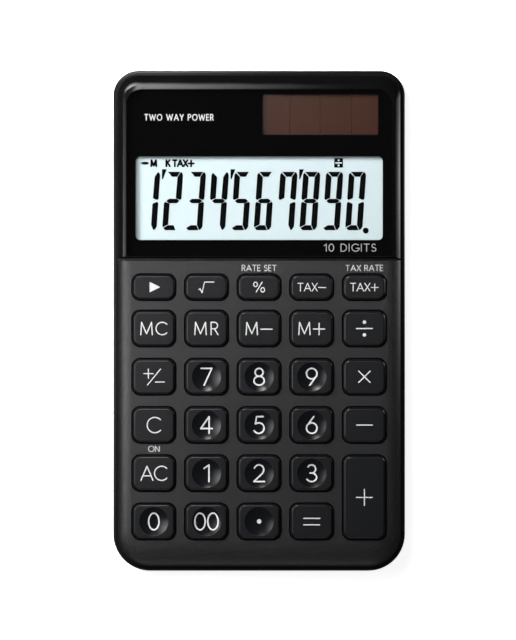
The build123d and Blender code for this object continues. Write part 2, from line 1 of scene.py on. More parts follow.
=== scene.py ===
import math
import bpy
import numpy as np
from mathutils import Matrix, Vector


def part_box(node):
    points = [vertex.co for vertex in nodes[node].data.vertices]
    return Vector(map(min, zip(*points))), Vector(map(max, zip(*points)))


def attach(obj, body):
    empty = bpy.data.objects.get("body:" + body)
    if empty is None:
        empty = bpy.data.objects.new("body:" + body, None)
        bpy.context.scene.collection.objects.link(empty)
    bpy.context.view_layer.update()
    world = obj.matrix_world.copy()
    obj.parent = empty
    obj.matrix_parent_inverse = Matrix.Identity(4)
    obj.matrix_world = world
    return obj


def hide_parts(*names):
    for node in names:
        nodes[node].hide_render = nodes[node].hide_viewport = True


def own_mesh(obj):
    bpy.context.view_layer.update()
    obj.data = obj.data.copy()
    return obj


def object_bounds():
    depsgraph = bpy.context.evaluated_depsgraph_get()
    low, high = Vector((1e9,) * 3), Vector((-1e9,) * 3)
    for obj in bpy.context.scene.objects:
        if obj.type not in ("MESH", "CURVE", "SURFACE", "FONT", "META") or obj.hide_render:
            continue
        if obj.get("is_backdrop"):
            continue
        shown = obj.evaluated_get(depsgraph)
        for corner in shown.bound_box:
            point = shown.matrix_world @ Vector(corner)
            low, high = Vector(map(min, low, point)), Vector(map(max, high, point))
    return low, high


# A slim pocket calculator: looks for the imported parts, and the thin layers that they carry.
# Lengths in the dictionaries are millimetres; meshes are in metres.

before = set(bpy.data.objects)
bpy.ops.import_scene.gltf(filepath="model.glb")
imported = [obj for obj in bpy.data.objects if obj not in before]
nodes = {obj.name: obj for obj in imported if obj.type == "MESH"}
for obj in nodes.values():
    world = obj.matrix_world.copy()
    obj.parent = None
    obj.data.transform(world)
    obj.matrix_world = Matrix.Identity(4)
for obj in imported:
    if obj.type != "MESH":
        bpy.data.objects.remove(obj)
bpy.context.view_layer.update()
mm = 0.001
print("frame loaded:", len(nodes), "nodes")


# One output of a node. Arithmetic on it adds Math nodes to its own material.
class Wire:
    def __init__(self, paint, socket):
        self.paint = paint
        self.socket = socket

    def __add__(self, other):
        return self.paint.maths("ADD", self, other)

    def __sub__(self, other):
        return self.paint.maths("SUBTRACT", self, other)

    def __rsub__(self, other):
        return self.paint.maths("SUBTRACT", other, self)

    def __mul__(self, other):
        return self.paint.maths("MULTIPLY", self, other)

    def above(self, edge):
        return self.paint.maths("GREATER_THAN", self, edge)

    def below(self, edge):
        return self.paint.maths("LESS_THAN", self, edge)

    __radd__ = __add__
    __rmul__ = __mul__


# A new material. node() adds any node: its settings first, then the values or wires of its sockets.
class Paint:
    def __init__(self, name):
        self.material = bpy.data.materials.new(name)
        self.material.use_nodes = True
        self.tree = self.material.node_tree
        self.tree.nodes.clear()
        self.output = self.tree.nodes.new("ShaderNodeOutputMaterial")
        self.place = self.node("TexCoord", output="Object")

    def node(self, kind, settings=None, sockets=None, output=0):
        made = self.tree.nodes.new("ShaderNode" + kind)
        for name, value in (settings or {}).items():
            setattr(made, name, value)
        for name, value in (sockets or {}).items():
            if isinstance(value, Wire):
                self.tree.links.new(value.socket, made.inputs[name])
            else:
                made.inputs[name].default_value = value
        return Wire(self, made.outputs[output])

    def maths(self, operation, first, second):
        return self.node("Math", {"operation": operation}, {0: first, 1: second})

    def mix(self, factor, first, second):
        colors = {0: factor, 6: first, 7: second}
        return self.node("Mix", {"data_type": "RGBA", "clamp_factor": True}, colors, 2)

    def noise(self, size, detail=2.0, roughness=0.5, stretch=(1, 1, 1)):
        spot = self.node("Mapping", None, {"Vector": self.place, "Scale": stretch})
        sockets = {"Vector": spot, "Scale": 1 / (size * mm), "Detail": detail, "Roughness": roughness}
        return self.node("TexNoise", None, sockets)

    def axis(self, name):
        return self.node("SeparateXYZ", None, {0: self.place}, name)

    def bump(self, height, depth):
        return self.node("Bump", None, {"Height": height, "Distance": depth * mm, "Strength": 1.0})

    def surface(self, sockets):
        shader = self.node("BsdfPrincipled", None, sockets)
        self.finish(shader)
        return self.material

    def finish(self, shader):
        self.tree.links.new(shader.socket, self.output.inputs["Surface"])


def grey(level):
    return (level, level, level, 1)


# What all mouldings share. The colour follows the grain by its share, and the drift by the rest.
mould = {"driftSize": 18, "grainShare": 0.7, "grainDetail": 3.0, "grainRough": 0.65, "ior": 1.5,
         "specular": 0.5}


# Moulded plastic or rubber: spark-eroded grain in the bump, a slow drift of colour and of gloss.
# A height may be given under which it is glossier, for walls that were polished beside a matt top.
def moulded(name, look):
    paint = Paint(name)
    grain = paint.noise(look["grain"], mould["grainDetail"], mould["grainRough"])
    drift = paint.noise(mould["driftSize"])
    darker = tuple(c * (1 - look["vary"]) for c in look["color"]) + (1,)
    lighter = tuple(c * (1 + look["vary"]) for c in look["color"]) + (1,)
    speck = grain * mould["grainShare"] + drift * (1 - mould["grainShare"])
    color = paint.mix(speck, darker, lighter)
    gloss = look["roughness"] + (drift - 0.5) * look["glossDrift"] + (grain - 0.5) * look["glossGrain"]
    if "glossyUnder" in look:
        gloss = gloss - paint.axis("Z").below(look["glossyUnder"] * mm) * look["glossier"]
    return paint.surface({
        "Base Color": color, "Roughness": gloss, "Normal": paint.bump(grain, look["depth"]),
        "IOR": look.get("ior", mould["ior"]),
        "Specular IOR Level": look.get("specular", mould["specular"])})


plastics = {
    "deckPlastic": {"color": (0.0030, 0.0030, 0.0031), "vary": 0.6, "grain": 0.5, "depth": 0.06,
                    "roughness": 0.43, "glossDrift": 0.04, "glossGrain": 0.6, "specular": 1.0},
    "keyPlastic": {"color": (0.0032, 0.0035, 0.0045), "vary": 0.25, "grain": 0.30, "depth": 0.002,
                   "roughness": 0.40, "glossDrift": 0.05, "glossGrain": 0.06, "specular": 0.5,
                   "glossyUnder": 8.97, "glossier": 0.22},
    "rearPlastic": {"color": (0.004, 0.004, 0.0043), "vary": 0.3, "grain": 0.38, "depth": 0.004,
                    "roughness": 0.15, "glossDrift": 0.06, "glossGrain": 0.1},
    "framePlastic": {"color": (0.035, 0.035, 0.04), "vary": 0.2, "grain": 0.6, "depth": 0.01,
                     "roughness": 0.55, "glossDrift": 0.06, "glossGrain": 0.1},
    "footRubber": {"color": (0.022, 0.022, 0.022), "vary": 0.3, "grain": 0.25, "depth": 0.02,
                   "roughness": 0.78, "glossDrift": 0.08, "glossGrain": 0.1, "ior": 1.45},
    "matRubber": {"color": (0.52, 0.52, 0.5), "vary": 0.05, "grain": 0.5, "depth": 0.008,
                  "roughness": 0.5, "glossDrift": 0.06, "glossGrain": 0.1, "ior": 1.42},
    "pillCarbon": {"color": (0.02, 0.02, 0.02), "vary": 0.3, "grain": 0.15, "depth": 0.008,
                   "roughness": 0.7, "glossDrift": 0.05, "glossGrain": 0.1},
    "padFoam": {"color": (0.05, 0.05, 0.052), "vary": 0.5, "grain": 0.35, "depth": 0.09,
                "roughness": 0.95, "glossDrift": 0.02, "glossGrain": 0.05},
    "leadSleeve": {"color": (0.42, 0.02, 0.018), "vary": 0.1, "grain": 0.4, "depth": 0.004,
                   "roughness": 0.35, "glossDrift": 0.05, "glossGrain": 0.05},
    "chipEpoxy": {"color": (0.012, 0.012, 0.012), "vary": 0.4, "grain": 1.2, "depth": 0.03,
                  "roughness": 0.22, "glossDrift": 0.1, "glossGrain": 0.05},
    "maskInk": {"color": (0.0008, 0.0008, 0.0009), "vary": 0.2, "grain": 0.5, "depth": 0.001,
                "roughness": 0.6, "glossDrift": 0.02, "glossGrain": 0.05, "specular": 0.0},
    "legendInk": {"color": (0.52, 0.52, 0.52), "vary": 0.05, "grain": 0.2, "depth": 0.003,
                  "roughness": 0.5, "glossDrift": 0.03, "glossGrain": 0.08},
    "greyInk": {"color": (0.28, 0.28, 0.285), "vary": 0.05, "grain": 0.2, "depth": 0.002,
                "roughness": 0.5, "glossDrift": 0.03, "glossGrain": 0.05},
    "crystalInk": {"color": (0.0016, 0.0018, 0.0020), "vary": 0.1, "grain": 0.6, "depth": 0.001,
                   "roughness": 0.5, "glossDrift": 0.02, "glossGrain": 0.02, "specular": 0.0},
    "displayFilm": {"color": (0.475, 0.565, 0.585), "vary": 0.02, "grain": 0.25, "depth": 0.002,
                    "roughness": 0.55, "glossDrift": 0.03, "glossGrain": 0.05},
}
finishes = {name: moulded(name, look) for name, look in plastics.items()}


# Polished black plastic: a faint ripple from the mould and hairline scratches that only catch the light.
def polishedPlastic():
    look = {"color": (0.0015, 0.0015, 0.0018), "paler": 0.0024, "roughness": 0.13, "ior": 1.52,
            "specular": 0.32, "ripple": 6.0, "rippleDepth": 0.002, "rippleGloss": 0.03,
            "scratchLength": 9.0, "scratchWidth": 0.12, "scratchedFrom": 0.72, "scratchGloss": 0.12}
    paint = Paint("bezelGloss")
    ripple = paint.noise(look["ripple"], 1.0)
    stretch = (look["scratchWidth"] / look["scratchLength"], 1, 1)
    scratch = paint.noise(look["scratchWidth"], 1.0, 0.4, stretch).above(look["scratchedFrom"])
    gloss = look["roughness"] + scratch * look["scratchGloss"] + (ripple - 0.5) * look["rippleGloss"]
    return paint.surface({
        "Base Color": paint.mix(ripple, look["color"] + (1,), grey(look["paler"])), "Roughness": gloss,
        "Normal": paint.bump(ripple, look["rippleDepth"]), "IOR": look["ior"],
        "Specular IOR Level": look["specular"]})


# Clear plate: light passes straight through it and a share that grows at grazing angles is mirrored.
# Only its outer side mirrors, so that light which is already inside gets out.
clearLook = {"roughness": 0.02, "ior": 1.49, "dust": 1.8, "dustGloss": 0.02}


def clearPlate(name, tint):
    paint = Paint(name)
    dust = paint.noise(clearLook["dust"], 4.0, 0.7)
    through = paint.node("BsdfTransparent", None, {"Color": tint})
    gloss = clearLook["roughness"] + (dust - 0.5) * clearLook["dustGloss"]
    mirrored = paint.node("BsdfGlossy", None, {"Color": grey(1), "Roughness": gloss})
    facing = 1 - paint.node("NewGeometry", None, {}, "Backfacing")
    share = paint.node("Fresnel", None, {"IOR": clearLook["ior"]}) * facing
    paint.finish(paint.node("MixShader", None, {0: share, 1: through, 2: mirrored}))
    return paint.material


# Amorphous silicon on glass: dark red-brown cells parted by thin lines along Y.
def solarGlass():
    look = {"color": (0.034, 0.012, 0.006), "deep": (0.031, 0.011, 0.005), "line": (0.022, 0.008, 0.004),
            "cells": 4, "lineWidth": 0.18, "cloud": 5, "roughness": 0.25, "cloudGloss": 0.03, "ior": 1.5}
    paint = Paint("solarGlass")
    low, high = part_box("solar_cell")
    pitch = (high.x - low.x) / look["cells"]
    across = paint.maths("MODULO", paint.axis("X") - low.x, pitch)
    parting = across.below(look["lineWidth"] * mm)
    cloud = paint.noise(look["cloud"], 3.0)
    color = paint.mix(cloud, look["deep"] + (1,), look["color"] + (1,))
    return paint.surface({
        "Base Color": paint.mix(parting, color, look["line"] + (1,)),
        "Roughness": look["roughness"] + cloud * look["cloudGloss"], "IOR": look["ior"]})


# Plated or brushed metal: fine lines along one axis, or an even grain, under a patchy tarnish.
lineGloss = 0.2


def metal(name, look):
    paint = Paint(name)
    brushed = paint.noise(look["line"], 2.0, 0.5, look["stretch"])
    tarnish = paint.noise(look["tarnish"], 4.0, 0.6)
    color = paint.mix(tarnish, look["color"] + (1,), look["dull"] + (1,))
    return paint.surface({
        "Base Color": color, "Metallic": 1.0, "Roughness": look["roughness"] + (brushed - 0.5) * lineGloss,
        "Normal": paint.bump(brushed, look["depth"])})


metals = {
    "cellSteel": {"color": (0.78, 0.77, 0.75), "dull": (0.62, 0.61, 0.59), "line": 0.1, "tarnish": 4,
                  "stretch": (1, 1, 1), "roughness": 0.26, "depth": 0.002},
    "contactPlate": {"color": (0.82, 0.70, 0.42), "dull": (0.66, 0.55, 0.33), "line": 0.12, "tarnish": 2,
                     "stretch": (1, 0.1, 1), "roughness": 0.3, "depth": 0.003},
    "screwSteel": {"color": (0.36, 0.36, 0.37), "dull": (0.24, 0.24, 0.25), "line": 0.1, "tarnish": 0.8,
                   "stretch": (1, 1, 1), "roughness": 0.33, "depth": 0.004},
    "labelFoil": {"color": (0.52, 0.52, 0.53), "dull": (0.45, 0.45, 0.46), "line": 0.08, "tarnish": 6,
                  "stretch": (0.02, 1, 1), "roughness": 0.42, "depth": 0.002},
}
finishes.update({name: metal(name, look) for name, look in metals.items()})

# Metres, added before a remainder is taken, because the remainder of a negative number differs.
aboveZero = 1.0


# Circuit board: a green mask over wandering copper tracks, with the weave of the laminate under it.
def boardLaminate():
    look = {"mask": (0.012, 0.085, 0.035), "track": (0.022, 0.14, 0.058), "pitch": 2.2, "width": 0.7,
            "wander": 9, "weave": 0.5, "roughness": 0.32, "weaveGloss": 0.12, "depth": 0.03,
            "trackShare": 0.8, "ior": 1.5}
    paint = Paint("boardLaminate")
    wobble = paint.noise(look["wander"], 0.0) * look["wander"] * mm
    along = paint.maths("MODULO", paint.axis("X") + wobble + aboveZero, look["pitch"] * mm)
    track = along.below(look["width"] * mm)
    weave = paint.noise(look["weave"])
    color = paint.mix(track, look["mask"] + (1,), look["track"] + (1,))
    height = track * look["trackShare"] + weave * (1 - look["trackShare"])
    return paint.surface({"Base Color": color, "Roughness": look["roughness"] + weave * look["weaveGloss"],
                          "Normal": paint.bump(height, look["depth"]), "IOR": look["ior"]})


# Small parts: a body colour in the middle and tinned ends, told apart by distance along X.
chipLook = {"tinnedFrom": 0.34, "tin": 0.7, "mottle": 0.4, "roughness": 0.35, "mottleGloss": 0.2,
            "depth": 0.01}


def chipBody(name, node, body):
    paint = Paint(name)
    low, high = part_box(node)
    middle = (low.x + high.x) / 2
    away = paint.maths("ABSOLUTE", paint.axis("X") - middle, 0.0)
    tinned = away.above((high.x - low.x) * chipLook["tinnedFrom"])
    mottle = paint.noise(chipLook["mottle"], 3.0)
    return paint.surface({
        "Base Color": paint.mix(tinned, body + (1,), grey(chipLook["tin"])), "Metallic": tinned,
        "Roughness": chipLook["roughness"] + mottle * chipLook["mottleGloss"],
        "Normal": paint.bump(mottle, chipLook["depth"])})


# Conductive rubber strip: thin dark layers between pale ones, stacked along X.
def zebraStrip():
    look = {"pale": (0.62, 0.34, 0.38), "dark": 0.03, "pitch": 0.1, "darkWidth": 0.04, "grain": 0.3,
            "roughness": 0.55, "grainGloss": 0.1, "depth": 0.005}
    paint = Paint("zebraStrip")
    across = paint.maths("MODULO", paint.axis("X") + aboveZero, look["pitch"] * mm)
    grain = paint.noise(look["grain"])
    color = paint.mix(across.below(look["darkWidth"] * mm), look["pale"] + (1,), grey(look["dark"]))
    return paint.surface({"Base Color": color, "Roughness": look["roughness"] + grain * look["grainGloss"],
                          "Normal": paint.bump(grain, look["depth"])})


finishes["bezelGloss"] = polishedPlastic()
finishes["lensAcrylic"] = clearPlate("lensAcrylic", grey(1))
finishes["displayGlass"] = clearPlate("displayGlass", (0.97, 1, 0.99, 1))
finishes["solarGlass"] = solarGlass()
finishes["boardLaminate"] = boardLaminate()
finishes["capacitorBody"] = chipBody("capacitorBody", "capacitors", (0.36, 0.25, 0.14))
finishes["resistorBody"] = chipBody("resistorBody", "chip_resistors", (0.02, 0.02, 0.024))
finishes["zebraStrip"] = zebraStrip()
print("materials made:", len(finishes))

finishOf = {
    "rear_cover": "rearPlastic", "front_case": "deckPlastic", "display_bezel": "bezelGloss",
    "display_lens": "lensAcrylic", "lens_mask": "maskInk",
    "lcd_front_polariser": "displayFilm", "lcd_rear_polariser": "displayFilm",
    "lcd_front_glass": "displayGlass", "lcd_rear_glass": "displayGlass",
    "lcd_frame": "framePlastic", "zebra_strip": "zebraStrip", "solar_cell": "solarGlass",
    "solar_pad": "padFoam", "solar_wires": "leadSleeve", "button_cell": "cellSteel",
    "battery_holder": "framePlastic", "cell_contact_negative": "contactPlate",
    "cell_contact_positive": "contactPlate", "battery_cap": "rearPlastic", "circuit_board": "boardLaminate",
    "chip_blob": "chipEpoxy", "capacitors": "capacitorBody", "chip_resistors": "resistorBody",
    "board_screws": "screwSteel", "case_screws": "screwSteel", "rubber_feet": "footRubber",
    "rear_label": "labelFoil", "key_mat": "matRubber", "contact_pills": "pillCarbon",
}
for name, node in nodes.items():
    node.data.materials.clear()
    node.data.materials.append(finishes[finishOf.get(name, "keyPlastic")])


# A mesh piece from vertex and face arrays in millimetres, riding on a body.
def makePiece(name, vertices, faces, finish, body):
    mesh = bpy.data.meshes.new(name)
    mesh.from_pydata((np.asarray(vertices) * mm).tolist(), [], faces)
    mesh.validate()
    piece = bpy.data.objects.new(name, mesh)
    bpy.context.scene.collection.objects.link(piece)
    mesh.materials.append(finishes[finish])
    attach(piece, body)
    return piece


# How finely outlines are drawn: the points round a dot, in each straight run and in the shortest arc,
# and the degrees between a longer arc's points. A stroke's ends are rounded at the angles given. Each
# stroke climbs a little over the one before, because crossing strokes must not share a plane.
roundSteps = 48
inkLook = {"dotSteps": 24, "lineSteps": 7, "arcSteps": 6, "arcTurn": 9, "ends": [82, 62, 42, 22],
           "climb": 0.0015}


# Collects thin solids, so that one mesh can hold a whole word. surface(x, y) gives the height that
# they lie on: their tops stand over it by the lift, and their undersides lie under it by the sink.
class Ink:
    def __init__(self, surface, lift, sink):
        self.surface = surface
        self.lift = lift
        self.sink = sink
        self.vertices = []
        self.faces = []

    def add(self, points, faces):
        start = sum(len(block) for block in self.vertices)
        self.vertices.append(points)
        self.faces += [tuple(start + i for i in face) for face in faces]

    # A stroke: a bar of oblong section carried along a path, its half width w sqrt(1 - t t) over the
    # last half width at each end, so that both ends are round.
    def stroke(self, path, width):
        half = width / 2
        turns = np.radians(inkLook["ends"])
        start = (path[0] - path[1]) / np.linalg.norm(path[0] - path[1])
        end = (path[-1] - path[-2]) / np.linalg.norm(path[-1] - path[-2])
        head = path[0] + np.outer(np.sin(turns) * half, start)
        tail = path[-1] + np.outer(np.sin(turns[::-1]) * half, end)
        whole = np.vstack([head, path, tail])
        rounded = np.cos(turns) * half
        halves = np.concatenate([rounded, np.full(len(path), half), rounded[::-1]])
        along = np.gradient(whole, axis=0)
        along /= np.linalg.norm(along, axis=1)[:, None]
        side = np.stack([-along[:, 1], along[:, 0]], axis=1) * halves[:, None]
        self.band(whole + side, whole - side)

    # A closed stroke keeps its full width all round.
    def ring(self, path, width):
        along = np.roll(path, -1, axis=0) - np.roll(path, 1, axis=0)
        along /= np.linalg.norm(along, axis=1)[:, None]
        side = np.stack([-along[:, 1], along[:, 0]], axis=1) * width / 2
        self.band(path + side, path - side, True)

    def band(self, left, right, closed=False):
        self.lift += inkLook["climb"]
        count = len(left)
        points = np.vstack([self.level(left, self.lift), self.level(right, self.lift),
                            self.level(right, -self.sink), self.level(left, -self.sink)])
        first = np.arange(count if closed else count - 1)
        after = (first + 1) % count
        quads = []
        for a, b in ((0, 1), (1, 2), (2, 3), (3, 0)):
            quads += np.stack([a * count + first, b * count + first, b * count + after, a * count + after],
                              axis=1).tolist()
        if not closed:
            ends = np.arange(4) * count
            quads += [ends[::-1].tolist(), (ends + count - 1).tolist()]
        self.add(points, quads)

    # A filled outline, given counter-clockwise.
    def patch(self, outline):
        outline = np.asarray(outline, float)
        count = len(outline)
        points = np.vstack([self.level(outline, self.lift), self.level(outline, -self.sink)])
        ring = np.arange(count)
        after = (ring + 1) % count
        walls = np.stack([ring + count, after + count, after, ring], axis=1).tolist()
        self.add(points, [ring.tolist(), (ring[::-1] + count).tolist()] + walls)

    def dot(self, x, y, radius):
        turn = np.linspace(0, 2 * np.pi, inkLook["dotSteps"], endpoint=False)
        self.patch(np.stack([x + radius * np.cos(turn), y + radius * np.sin(turn)], axis=1))

    def level(self, points, offset):
        return np.column_stack([points, self.surface(points[:, 0], points[:, 1]) + offset])

    def piece(self, name, finish, body):
        return makePiece(name, np.vstack(self.vertices), self.faces, finish, body)


# Points along an ellipse's arc, x + across cos t and y + up sin t, with the angles in degrees.
def arc(x, y, across, up, first, last):
    steps = max(inkLook["arcSteps"], int(abs(last - first) / inkLook["arcTurn"]))
    turn = np.radians(np.linspace(first, last, steps))
    return np.stack([x + across * np.cos(turn), y + up * np.sin(turn)], axis=1)


# Points along straight runs, evenly spaced within each run.
def line(*corners):
    corners = np.asarray(corners, float)
    steps = np.linspace(0, 1, inkLook["lineSteps"])[:, None]
    runs = [a + (b - a) * steps for a, b in zip(corners[:-1], corners[1:])]
    return np.vstack([runs[0]] + [run[1:] for run in runs[1:]])


def join(*paths):
    return np.vstack(paths)


def oval(x, y, across, up):
    return ("ring", arc(x, y, across, up, 0, 360)[:-1])


# Plain one-weight letters, each as its width and the paths of its strokes' middles. They are one unit
# tall from baseline to cap line.
letters = {
    "0": (0.62, [oval(0.31, 0.5, 0.31, 0.5)]),
    "1": (0.3, [line((0, 0.79), (0.3, 0.985)), line((0.3, 1), (0.3, 0))]),
    "2": (0.64, [join(arc(0.31, 0.71, 0.29, 0.29, 160, -38), line((0.50, 0.47), (0, 0))),
                 line((0, 0), (0.64, 0))]),
    "3": (0.6, [arc(0.29, 0.755, 0.245, 0.245, 150, -90), arc(0.29, 0.255, 0.3, 0.255, 90, -155),
                line((0.2, 0.51), (0.29, 0.51))]),
    "4": (0.68, [line((0.5, 0), (0.5, 1)), line((0.5, 1), (0, 0.29)), line((0, 0.29), (0.68, 0.29))]),
    "5": (0.6, [line((0.54, 1), (0.15, 1)), line((0.15, 1), (0.08, 0.56)),
                arc(0.28, 0.315, 0.32, 0.315, 128, -150)]),
    "6": (0.63, [oval(0.315, 0.315, 0.315, 0.315), line((0.055, 0.49), (0.43, 1))]),
    "7": (0.64, [line((0, 1), (0.64, 1)), line((0.64, 1), (0.18, 0))]),
    "8": (0.62, [oval(0.31, 0.765, 0.24, 0.235), oval(0.31, 0.265, 0.31, 0.265)]),
    "9": (0.63, [oval(0.315, 0.685, 0.315, 0.315), line((0.575, 0.51), (0.2, 0))]),
    "A": (0.86, [line((0, 0), (0.43, 1)), line((0.43, 1), (0.86, 0)), line((0.15, 0.32), (0.71, 0.32))]),
    "C": (0.86, [arc(0.5, 0.5, 0.5, 0.5, 43, 317)]),
    "D": (0.72, [line((0, 0), (0, 1)), join(line((0, 1), (0.24, 1)), arc(0.24, 0.5, 0.48, 0.5, 88, -88),
                                            line((0.24, 0), (0, 0)))]),
    "E": (0.46, [line((0.46, 1), (0, 1)), line((0, 1), (0, 0)), line((0, 0), (0.46, 0)),
                 line((0, 0.51), (0.42, 0.51))]),
    "G": (0.9, [arc(0.5, 0.5, 0.5, 0.5, 43, 345), line((0.98, 0.42), (0.6, 0.42))]),
    "I": (0.02, [line((0, 0), (0, 1))]),
    "K": (0.6, [line((0, 0), (0, 1)), line((0.56, 1), (0, 0.4)), line((0.2, 0.62), (0.6, 0))]),
    "M": (0.92, [line((0, 0), (0.06, 1)), line((0.06, 1), (0.46, 0.08)), line((0.46, 0.08), (0.86, 1)),
                 line((0.86, 1), (0.92, 0))]),
    "N": (0.7, [line((0, 0), (0, 1)), line((0, 1), (0.7, 0)), line((0.7, 0), (0.7, 1))]),
    "O": (0.98, [oval(0.49, 0.5, 0.49, 0.5)]),
    "P": (0.54, [line((0, 0), (0, 1)), join(line((0, 1), (0.28, 1)), arc(0.28, 0.74, 0.26, 0.26, 85, -85),
                                            line((0.28, 0.48), (0, 0.48)))]),
    "R": (0.56, [line((0, 0), (0, 1)), join(line((0, 1), (0.26, 1)), arc(0.26, 0.74, 0.26, 0.26, 85, -85),
                                            line((0.26, 0.48), (0, 0.48))), line((0.26, 0.48), (0.56, 0))]),
    "S": (0.54, [join(arc(0.27, 0.755, 0.23, 0.245, 38, 262), arc(0.27, 0.255, 0.27, 0.255, 82, -148))]),
    "T": (0.66, [line((0, 1), (0.66, 1)), line((0.33, 1), (0.33, 0))]),
    "W": (1.24, [line((0, 1), (0.3, 0)), line((0.3, 0), (0.62, 0.92)), line((0.62, 0.92), (0.94, 0)),
                 line((0.94, 0), (1.24, 1))]),
    "X": (0.66, [line((0, 0), (0.66, 1)), line((0, 1), (0.66, 0))]),
    "Y": (0.7, [line((0, 1), (0.35, 0.46)), line((0.7, 1), (0.35, 0.46)), line((0.35, 0.46), (0.35, 0))]),
    "-": (0.92, [line((0, 0.45), (0.92, 0.45))]),
    "+": (0.92, [line((0, 0.46), (0.92, 0.46)), line((0.46, 0), (0.46, 0.92))]),
    " ": (0.28, []),
}


# Writes a word centred on a point, with the height taken over the strokes' outer edges. The gap is
# between letters, and the stretch makes them wider than they are tall.
def write(ink, word, x, y, height, weight, gap, stretch=1.0):
    unit = height - weight
    widths = [letters[letter][0] * unit * stretch for letter in word]
    cursor = x - (sum(widths) + gap * (len(word) - 1)) / 2
    for letter, width in zip(word, widths):
        for path in letters[letter][1]:
            kind, points = path if isinstance(path, tuple) else ("stroke", path)
            spot = points * (unit * stretch, unit) + (cursor, y - unit / 2)
            if kind == "ring":
                ink.ring(spot, weight)
            else:
                ink.stroke(spot, weight)
        cursor += width + gap


# What is printed on each key. A word is (text, height, gap). Weights are for words from a height up.
legendLook = {"weights": ((4.0, 0.36), (3.0, 0.27), (0.0, 0.2)), "lift": 0.012, "sink": 0.02}
keyWords = {"key_" + digit: (digit, 4.35, 0) for digit in "0123456789"}
keyWords.update({
    "key_00": ("00", 4.35, 0.62), "key_all_clear": ("AC", 3.65, 0.35), "key_clear": ("C", 3.95, 0),
    "key_memory_clear": ("MC", 3.25, 0.9), "key_memory_recall": ("MR", 3.25, 1.15),
    "key_memory_minus": ("M-", 3.2, 0.8), "key_memory_plus": ("M+", 3.2, 0.8),
    "key_tax_minus": ("TAX-", 2.05, 0.3), "key_tax_plus": ("TAX+", 2.05, 0.3),
})

# A sign is drawn about the key's middle: ovals as (x, y, across, up, weight), strokes as
# (x, y, x, y, weight), dots as (x, y, radius), and filled outlines.
keySigns = {
    "key_plus": {"strokes": [(-1.9, 0, 1.9, 0, 0.27), (0, -1.9, 0, 1.9, 0.27)]},
    "key_minus": {"strokes": [(-1.9, 0, 1.9, 0, 0.27)]},
    "key_equals": {"strokes": [(-1.9, 0.77, 1.9, 0.77, 0.27), (-1.9, -0.77, 1.9, -0.77, 0.27)]},
    "key_multiply": {"strokes": [(-1.36, -1.36, 1.36, 1.36, 0.27), (-1.36, 1.36, 1.36, -1.36, 0.27)]},
    "key_divide": {"strokes": [(-1.9, 0, 1.9, 0, 0.27)], "dots": [(0, 1.52, 0.42), (0, -1.52, 0.42)]},
    "key_sign_change": {"strokes": [(-2.4, 0.75, -0.2, 0.75, 0.24), (-1.3, -0.35, -1.3, 1.85, 0.24),
                                    (-1.5, -1.95, 1.6, 1.85, 0.24), (0.4, -1.25, 2.5, -1.25, 0.24)]},
    "key_point": {"dots": [(0, 0, 0.55)]},
    "key_backspace": {"filled": [[(-1.0, -1.25), (1.55, 0), (-1.0, 1.25)]]},
    "key_square_root": {"strokes": [(-1.85, -0.55, -1.55, -0.4, 0.18), (-1.55, -0.4, -1.05, -1.3, 0.28),
                                    (-1.05, -1.3, -0.45, 1.22, 0.20), (-0.45, 1.22, 1.82, 1.22, 0.22)]},
    "key_percent": {"ovals": [(-0.86, 0.66, 0.44, 0.54, 0.23), (0.86, -0.66, 0.44, 0.54, 0.23)],
                    "strokes": [(-0.72, -1.18, 0.72, 1.18, 0.23)]},
}


def drawSign(ink, sign, x, y):
    for ovalX, ovalY, across, up, weight in sign.get("ovals", []):
        ink.ring(arc(x + ovalX, y + ovalY, across, up, 0, 360)[:-1], weight)
    for startX, startY, endX, endY, weight in sign.get("strokes", []):
        ink.stroke(line((x + startX, y + startY), (x + endX, y + endY)), weight)
    for dotX, dotY, radius in sign.get("dots", []):
        ink.dot(x + dotX, y + dotY, radius)
    for outline in sign.get("filled", []):
        ink.patch(np.asarray(outline) + (x, y))


# A dished key top sinks inside a circle: z = top - depth + R - sqrt(R R - r r), with the ball's radius
# R = (a a + depth depth) / (2 depth) for a dish of radius a.
dish = {"margin": 0.68, "depth": 0.6, "flange": 0.5, "gap": 0.35}
dished = ["key_" + name for name in "0 1 2 3 4 5 6 7 8 9 00 point".split()]


def keyTop(name):
    low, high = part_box(name)
    x, y = (low.x + high.x) / 2 / mm, (low.y + high.y) / 2 / mm
    top = high.z / mm
    if name not in dished:
        return x, y, lambda px, py: np.full(np.shape(px), top)
    edge = 2 * (dish["flange"] + dish["gap"])
    radius = (min(high.x - low.x, high.y - low.y) / mm - edge) / 2 - dish["margin"]
    ball = (radius ** 2 + dish["depth"] ** 2) / (2 * dish["depth"])

    def surface(px, py):
        reach = (px - x) ** 2 + (py - y) ** 2
        sunk = top - dish["depth"] + ball - np.sqrt(np.maximum(ball ** 2 - reach, 0))
        return np.minimum(sunk, top)
    return x, y, surface


keyNames = sorted(name for name in nodes if name.startswith("key_") and name != "key_mat")
for name in keyNames:
    x, y, surface = keyTop(name)
    ink = Ink(surface, legendLook["lift"], legendLook["sink"])
    if name in keyWords:
        word, height, gap = keyWords[name]
        weight = next(weight for least, weight in legendLook["weights"] if height > least)
        write(ink, word, x, y, height, weight, gap)
    else:
        drawSign(ink, keySigns[name], x, y)
    ink.piece("legend_" + name.removeprefix("key_"), "legendInk", name)
print("key legends:", len(keyNames))


def flat(height):
    return lambda px, py: np.full(np.shape(px), height)


